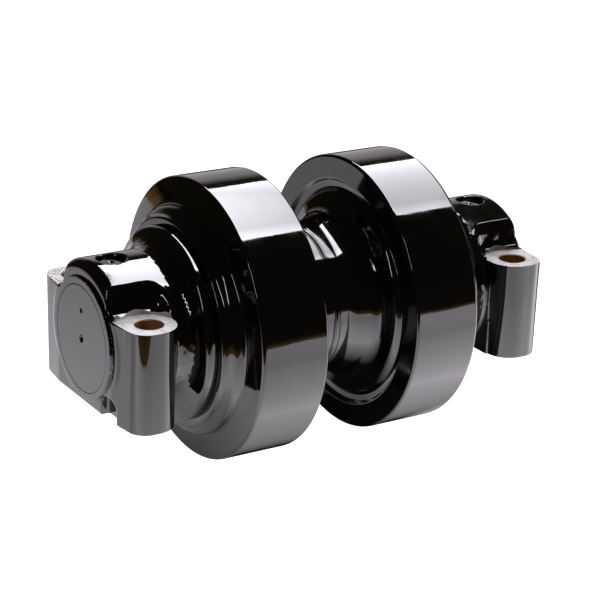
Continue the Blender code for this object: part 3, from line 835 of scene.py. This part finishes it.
def drilling(bottom, top, radius, x=0.0, y=0.0):
    """An upright cylinder to cut with."""
    outline = [(bottom, 0), (bottom, radius), (top, radius), (top, 0)]
    return lathe(outline, SMALL_SEGMENTS, "Z", (x, y, 0))


def make_shaft(paint):
    """Ground bar with painted end faces, two pin holes, an index mark and a plugged oil gallery."""
    outline = [
        (-HALF_LENGTH + DIMPLE_DEPTH, 0.0),
        (-HALF_LENGTH + DIMPLE_DEPTH, DIMPLE_PILOT_RADIUS),
        (-HALF_LENGTH + DIMPLE_RADIUS, DIMPLE_PILOT_RADIUS),
        (-HALF_LENGTH, DIMPLE_RADIUS, 0.3),
        (-HALF_LENGTH, SHAFT_RADIUS, 0.5),
        (-SHAFT_SHOULDER_END, SHAFT_RADIUS, 0.6),
        (-SHAFT_SHOULDER_END, SHAFT_SHOULDER_RADIUS, 0.8),
        (SHAFT_SHOULDER_END, SHAFT_SHOULDER_RADIUS, 0.8),
        (SHAFT_SHOULDER_END, SHAFT_RADIUS, 0.6),
        (HALF_LENGTH, SHAFT_RADIUS, 0.5),
        (HALF_LENGTH, PLUG_BORE_RADIUS, 0.4),
        (HALF_LENGTH - PLUG_BORE_DEPTH, PLUG_BORE_RADIUS),
        (HALF_LENGTH - PLUG_BORE_DEPTH, GALLERY_RADIUS),
        (-GALLERY_RADIUS, GALLERY_RADIUS),
        (-2 * GALLERY_RADIUS, 0.0),
    ]
    verts, faces = lathe(rounded(outline, 4), RING_SEGMENTS)
    painted = []
    for face in faces:
        ends = np.abs(verts[list(face), 0])
        painted.append(0 if ends.min() > HALF_LENGTH - DIMPLE_DEPTH - PAINT_MARGIN else 1)
    obj = mesh_object("shaft_bar", verts, faces, [paint["black_enamel"], paint["turned_steel"]], painted)
    pin_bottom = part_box("lock_pin_right")[0].z / MM - PIN_CLEARANCE
    holes = [drilling(pin_bottom, DRILL_REACH, PIN_HOLE_RADIUS, side * BOSS_X) for side in SIDES.values()]
    cut_away(obj, holes + [drilling(-DRILL_REACH, 0.0, OIL_DRILLING_RADIUS)], paint["turned_steel"])
    mark_floor = -HALF_LENGTH + INDEX_MARK_DEPTH
    mark = [
        (-HALF_LENGTH - OVERCUT, 0),
        (-HALF_LENGTH - OVERCUT, INDEX_MARK_RADIUS),
        (mark_floor, INDEX_MARK_RADIUS),
        (mark_floor + OVERCUT, 0),
    ]
    cut_away(obj, [lathe(mark, SMALL_SEGMENTS, "X", (0, 0, INDEX_MARK_Z))], paint["black_enamel"])
    finish_piece(obj, "frame", "shaft")


def collar_cutters(side):
    """What is machined out of a collar casting, in four groups; shapes of one group don't overlap."""
    groove_start, groove_end, groove_radius = O_RING_GROOVE
    bore = [
        (HUB_START - 2 * OVERCUT, 0),
        (HUB_START - 2 * OVERCUT, BORE_RADIUS),
        (groove_start, BORE_RADIUS),
        (groove_start, groove_radius),
        (groove_end, groove_radius),
        (groove_end, BORE_RADIUS),
        (HALF_LENGTH + 2 * OVERCUT, BORE_RADIUS),
        (HALF_LENGTH + 2 * OVERCUT, 0),
    ]
    housing_floor = COLLAR_MOUTH + HOUSING_DEPTH
    housing = [
        (COLLAR_MOUTH - OVERCUT, HUB_RADIUS),
        (housing_floor, HUB_RADIUS),
        (housing_floor, HOUSING_RADIUS),
        (COLLAR_MOUTH, HOUSING_MOUTH_RADIUS),
        (COLLAR_MOUTH - OVERCUT, HOUSING_MOUTH_RADIUS),
    ]
    turned = [lathe([(side * x, r) for x, r in shape], RING_SEGMENTS) for shape in (bore, housing)]
    plan = spot_face_plan()
    spots = [prism([(side * x, row * y) for x, y in plan], SPOT_FACE_Z, SPOT_FACE_Z + SPOT_CUT_HEIGHT)
             for row in ROWS]
    drill = [
        (SEAT_Z - 2 * OVERCUT, 0),
        (SEAT_Z - 2 * OVERCUT, BOLT_HOLE_RADIUS),
        (SPOT_FACE_Z - BOLT_HOLE_CHAMFER, BOLT_HOLE_RADIUS),
        (SPOT_FACE_Z + OVERCUT, BOLT_HOLE_RADIUS + BOLT_HOLE_CHAMFER + OVERCUT),
        (SPOT_FACE_Z + OVERCUT, 0),
    ]
    holes = [lathe(drill, SMALL_SEGMENTS, "Z", (side * BOSS_X, row * BOSS_Y, 0)) for row in ROWS]
    pin = drilling(PIN_CUT_START, DRILL_REACH, PIN_HOLE_RADIUS, side * BOSS_X)
    return turned, spots, holes, [pin]


def spot_face_plan():
    """Where the mill has passed over a boss: round the hole, and out over the plate's edge."""
    points = []
    for degrees in range(-200, -52, 4):
        angle = math.radians(degrees)
        x = BOSS_X + SPOT_FACE_RADIUS * math.cos(angle)
        y = BOSS_Y + SPOT_FACE_RADIUS * math.sin(angle)
        points.append((x, y))
    past_plate = WEB_FACE + 3 * OVERCUT
    past_boss = BOSS_Y + SPOT_RUN_OUT
    points.append((past_plate, PLATE_LEAN_START + SPOT_PLATE_INSET))
    points.append((past_plate, past_boss))
    points.append((BOSS_X - SPOT_FACE_RADIUS - OVERCUT, past_boss))
    return points


def make_collars(paint):
    high = np.array((HALF_LENGTH, BOSS_Y + BOSS_RADIUS, FLANGE_RADIUS)) + CAST_MARGIN
    low = (HUB_START - CAST_MARGIN, -high[1], -high[2])
    verts, quads = level_surface(collar_field, low, high, CAST_STEP)
    verts[:, 0] = np.minimum(verts[:, 0], HALF_LENGTH)
    for side_name, side in SIDES.items():
        node = f"collar_{side_name}"
        turned_round = verts * (side, side, 1)      # a half turn about Z for the left collar
        obj = mesh_object(f"{node}_casting", turned_round, quads.tolist(), [paint["black_enamel"]])
        turned, spots, holes, pin = collar_cutters(side)
        cut_away(obj, turned, paint["turned_steel"])
        cut_away(obj, spots, paint[SPOT_FACE_METALS[side_name]])
        cut_away(obj, holes, paint["hole_wall"])
        cut_away(obj, pin, paint["black_enamel"])
        finish_piece(obj, "frame", node)


def make_bearings(paint):
    """Bushes and thrust rings, with softened edges."""
    for side_name, side in SIDES.items():
        for kind, bore in (("bush", BORE_RADIUS), ("thrust_ring", SHAFT_RADIUS + THRUST_BORE_CLEARANCE)):
            node = f"{kind}_{side_name}"
            start, end, radius = cad_size(node)
            section = [(start, bore, 0.4), (start, radius, 0.8), (end, radius, 0.8), (end, bore, 0.4)]
            outline = [(side * x, r) for x, r in rounded(section, 4)]
            obj = mesh_object(f"{node}_turned", *lathe(outline, RING_SEGMENTS), [paint["bronze"]])
            finish_piece(obj, "roller", node)


def make_seals(paint):
    """Both halves of each floating face seal: an L-shaped iron ring and the toric behind it."""
    for side_name, side in SIDES.items():
        for kind, body, inwards in (("rotating", "roller", -1), ("fixed", "frame", 1)):
            node = f"seal_ring_{kind}_{side_name}"
            start, end, radius = cad_size(node)
            face, back = (end, start) if inwards < 0 else (start, end)
            lip = face + inwards * SEAL_LIP_THICKNESS
            section = [
                (face, SEAL_RING_BORE, 0.3),
                (face, radius, 0.4),
                (lip, radius, 0.4),
                (lip, SEAL_BODY_RADIUS, 0.6),
                (back, SEAL_BODY_RADIUS - SEAL_BODY_TAPER, 0.4),
                (back, SEAL_RING_BORE, 0.3),
            ]
            outline = [(side * x, r) for x, r in rounded(section, 4)]
            obj = mesh_object(f"{node}_lapped", *lathe(outline, RING_SEGMENTS), [paint["seal_iron"]])
            finish_piece(obj, body, node)
            make_round_ring(f"toric_ring_{kind}_{side_name}", side, body, TORIC_CENTRE_RADIUS, paint)
        make_round_ring(f"shaft_o_ring_{side_name}", side, "frame", O_RING_CENTRE_RADIUS, paint)


def make_round_ring(node, side, body, centre_radius, paint):
    """A rubber ring of round section in the place of its faceted CAD node."""
    start, end, radius = cad_size(node)
    middle = (start + end) / 2
    section = min(end - start, 2 * (radius - centre_radius)) / 2
    outline = []
    for i in range(RUBBER_STEPS):
        angle = 2 * math.pi * i / RUBBER_STEPS
        x = middle + section * math.cos(angle)
        outline.append((side * x, centre_radius + section * math.sin(angle)))
    obj = mesh_object(f"{node}_rubber", *lathe(outline, RING_SEGMENTS), [paint["nitrile_rubber"]])
    finish_piece(obj, body, node)


def make_lock_pins(paint):
    """Pins driven in from the top recess; their heads are painted over with the collar."""
    for side_name, side in SIDES.items():
        node = f"lock_pin_{side_name}"
        low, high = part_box(node)
        bottom, top, radius = low.z / MM, high.z / MM, (high.y - low.y) / 2 / MM
        outline = [
            (bottom, 0.0),
            (bottom, radius, 1.0),
            (top, radius, 1.2),
            (top, PIN_DIMPLE_RADIUS, 0.4),
            (top - PIN_DIMPLE_DEPTH, 0.0),
        ]
        shape = lathe(rounded(outline, 5), SMALL_SEGMENTS, "Z", (side * BOSS_X, 0, 0))
        obj = mesh_object(f"{node}_driven", *shape, [paint["black_enamel"]])
        finish_piece(obj, "frame", node)


def make_oil_plug(paint):
    """Socket-head plug, flush in the right end of the shaft."""
    start, end, radius = cad_size("oil_plug")
    outline = [(start, 0.0), (start, radius, 0.5), (end, radius, 0.8), (end, 0.0)]
    obj = mesh_object("oil_plug_socket", *lathe(rounded(outline, 4), SMALL_SEGMENTS), [paint["dark_steel"]])
    socket = [
        (end - PLUG_HEX_DEPTH, 0),
        (end - PLUG_HEX_DEPTH, PLUG_HEX_RADIUS),
        (end + 2 * OVERCUT, PLUG_HEX_RADIUS),
        (end + 2 * OVERCUT, 0),
    ]
    cut_away(obj, [lathe(socket, 6)], paint["dark_steel"])
    finish_piece(obj, "frame", "oil_plug")


# ---------------------------------------------------------------- studio


def stage_plane(name, corners, material, seen_by_camera=False):
    """A flat shape of the studio. Reflections always show it, the camera only if asked."""
    mesh = bpy.data.meshes.new(name)
    mesh.from_pydata(corners, [], [tuple(range(len(corners)))])
    mesh.materials.append(material)
    obj = bpy.data.objects.new(name, mesh)
    bpy.context.scene.collection.objects.link(obj)
    obj.visible_camera = seen_by_camera
    return obj


def glow(name):
    """An emission-only material: its nodes and its emission node."""
    material = bpy.data.materials.new(name)
    material.use_nodes = True
    tree = material.node_tree
    tree.nodes.clear()
    nodes = Nodes(tree)
    emission = nodes.add("ShaderNodeEmission")
    nodes.add("ShaderNodeOutputMaterial", {"Surface": emission.outputs[0]})
    return material, nodes, emission


def table_point(right, towards, height=0.0):
    """A point of the table top, by its distances to the camera's right and towards the camera."""
    point = TABLE_RIGHT * right + TABLE_TOWARDS * towards
    return point.x, point.y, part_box("roller_shell")[0].z + height


def make_floor():
    """A white table top; in reflections it shades close under the roller and ends at a warm horizon."""
    material, nodes, emission = glow("pale_floor")
    place = nodes.add("ShaderNodeSeparateXYZ", {"Vector": nodes.place()})
    along, across = place.outputs["X"], place.outputs["Y"]
    shade_across = nodes.between(nodes.math("ABSOLUTE", across), TABLE_SHADE, 1.0, *SHADE_ACROSS_PLACE)
    shade_along = nodes.between(nodes.math("ABSOLUTE", along), TABLE_SHADE, 1.0, *SHADE_ALONG_PLACE)
    shade = nodes.math("MAXIMUM", shade_across, shade_along)
    back_fall = nodes.between(along, *BACK_FALL, *BACK_FALL_PLACE)
    back_light = nodes.math("MULTIPLY", nodes.between(across, *BACK_LIGHT, *BACK_PLACE), back_fall)
    front_fall = nodes.between(along, *FRONT_FALL, *FRONT_FALL_PLACE)
    front_light = nodes.math("MULTIPLY", nodes.between(across, *FRONT_LIGHT, *FRONT_PLACE), front_fall)
    light = nodes.between(across, front_light, back_light, *FRONT_TO_BACK_PLACE)
    lit = nodes.math("MULTIPLY", shade, light)
    seen = nodes.add("ShaderNodeLightPath").outputs["Is Camera Ray"]
    for_camera = nodes.math("MAXIMUM", lit, nodes.math("MULTIPLY", seen, TABLE_SEEN_LIGHT))
    colour = nodes.mix_colour(seen, TABLE_COLOUR, (1.0, 1.0, 1.0))
    nodes.tree.links.new(for_camera, emission.inputs["Strength"])
    nodes.tree.links.new(colour, emission.inputs["Color"])
    stage_plane("floor", [table_point(*corner) for corner in TABLE_CORNERS], material, True)


def make_horizon():
    """Low warm strips that stand on the table's front and left edges."""
    warm, nodes, emission = glow("warm_horizon")
    emission.inputs["Color"].default_value = (*HORIZON_COLOUR, 1.0)
    level = nodes.add("ShaderNodeSeparateXYZ", {"Vector": nodes.place()}).outputs["Z"]
    base = table_point(0, 0)[2]
    fade = nodes.between(level, HORIZON_LIGHT, 0.0, base + HORIZON_FADE_START, base + HORIZON_HEIGHT)
    nodes.tree.links.new(fade, emission.inputs["Strength"])
    front_left, front_right, _, back_left = TABLE_CORNERS
    strips = {
        "front": (front_left, front_right, HORIZON_HEIGHT),
        "left": (back_left, front_left, HORIZON_LEFT_HEIGHT),
    }
    for name, (start, end, height) in strips.items():
        foot = [table_point(*start), table_point(*end)]
        top = [table_point(*end, height), table_point(*start, height)]
        stage_plane(f"horizon_{name}", foot + top, warm)


def make_lights():
    """A softbox over the right side with two cards beside it, and a narrow strip at the left front."""
    material, nodes, emission = glow("softbox_light")
    depth = [y for _, y in SOFTBOX_CORNERS]
    middle, half = (min(depth) + max(depth)) / 2, (max(depth) - min(depth)) / 2
    place = nodes.add("ShaderNodeSeparateXYZ", {"Vector": nodes.place()})
    from_middle = nodes.math("ABSOLUTE", nodes.math("SUBTRACT", place.outputs["Y"], middle))
    level = nodes.between(from_middle, SOFTBOX_LIGHT, SOFTBOX_EDGE_LIGHT, half - SOFTBOX_EDGE_WIDTH, half)
    fall = nodes.between(place.outputs["X"], *SOFTBOX_FALL, *SOFTBOX_FALL_PLACE)
    nodes.tree.links.new(nodes.math("MULTIPLY", level, fall), emission.inputs["Strength"])
    emission.inputs["Color"].default_value = (*SOFTBOX_COLOUR, 1.0)
    stage_plane("softbox", [(x, y, SOFTBOX_Z) for x, y in reversed(SOFTBOX_CORNERS)], material)
    for number, (corners, light) in enumerate(CARDS):
        material, nodes, emission = glow(f"card_light_{number}")
        emission.inputs["Strength"].default_value = light
        stage_plane(f"card_{number}", [(x, y, SOFTBOX_Z) for x, y in corners], material)

    material, nodes, emission = glow("strip_light")
    emission.inputs["Strength"].default_value = STRIP_LIGHT
    centre = Vector(STRIP_CENTRE)
    sideways = centre.cross(Vector((0, 0, 1))).normalized() * STRIP_SIZE[0] / 2
    upwards = Vector((0, 0, STRIP_SIZE[1] / 2))
    corners = [
        centre - sideways - upwards,
        centre + sideways - upwards,
        centre + sideways + upwards,
        centre - sideways + upwards,
    ]
    stage_plane("strip", [tuple(corner) for corner in corners], material)


def make_room():
    """White behind the roller for the camera; a dim warm room with a pale backdrop for reflections."""
    world = bpy.data.worlds.new("studio_room")
    bpy.context.scene.world = world
    world.use_nodes = True
    tree = world.node_tree
    tree.nodes.clear()
    nodes = Nodes(tree)
    direction = nodes.add("ShaderNodeTexCoord").outputs["Generated"]
    parts = nodes.add("ShaderNodeSeparateXYZ", {"Vector": direction})
    low = nodes.between(parts.outputs["Z"], 1.0, 0.0, *BACKDROP_TOP)
    behind = nodes.between(parts.outputs["Y"], 0.0, 1.0, *BACKDROP_NEAR)
    to_right = nodes.between(parts.outputs["X"], 0.0, 1.0, *BACKDROP_LEFT)
    backdrop = nodes.math("MULTIPLY", nodes.math("MULTIPLY", low, behind), to_right)
    colour = nodes.mix_colour(backdrop, ROOM_COLOUR, BACKDROP_COLOUR)
    dim = nodes.add("ShaderNodeBackground", {"Color": colour})
    white = nodes.add("ShaderNodeBackground", {"Color": (1.0, 1.0, 1.0, 1.0), "Strength": WHITE_STRENGTH})
    seen = nodes.add("ShaderNodeLightPath").outputs["Is Camera Ray"]
    mixed = nodes.add("ShaderNodeMixShader", {0: seen, 1: dim.outputs[0], 2: white.outputs[0]})
    nodes.add("ShaderNodeOutputWorld", {"Surface": mixed.outputs[0]})


def make_camera():
    """Looks at the roller's centre along the yaw and pitch, with a small shift and roll."""
    back = Vector((-math.sin(CAMERA_YAW) * math.cos(CAMERA_PITCH),
                   -math.cos(CAMERA_YAW) * math.cos(CAMERA_PITCH),
                   math.sin(CAMERA_PITCH)))
    right = (-back).cross(Vector((0, 0, 1))).normalized()
    up = right.cross(-back)
    cos_roll, sin_roll = math.cos(CAMERA_ROLL), math.sin(CAMERA_ROLL)
    rolled_right = cos_roll * right + sin_roll * up
    rolled_up = cos_roll * up - sin_roll * right
    turn = Matrix((rolled_right, rolled_up, back)).transposed()
    camera = bpy.data.objects.new("camera", bpy.data.cameras.new("camera"))
    camera.data.lens = CAMERA_LENS
    place = back * CAMERA_DISTANCE + right * CAMERA_RIGHT + up * CAMERA_UP
    camera.matrix_world = Matrix.Translation(place) @ turn.to_4x4()
    bpy.context.scene.collection.objects.link(camera)
    bpy.context.scene.camera = camera
    bpy.context.scene.view_settings.view_transform = "Standard"


def main():
    paint = make_materials()
    make_camera()
    make_room()
    make_floor()
    make_horizon()
    make_lights()
    make_shell(paint)
    make_shaft(paint)
    make_collars(paint)
    make_bearings(paint)
    make_seals(paint)
    make_lock_pins(paint)
    make_oil_plug(paint)


main()
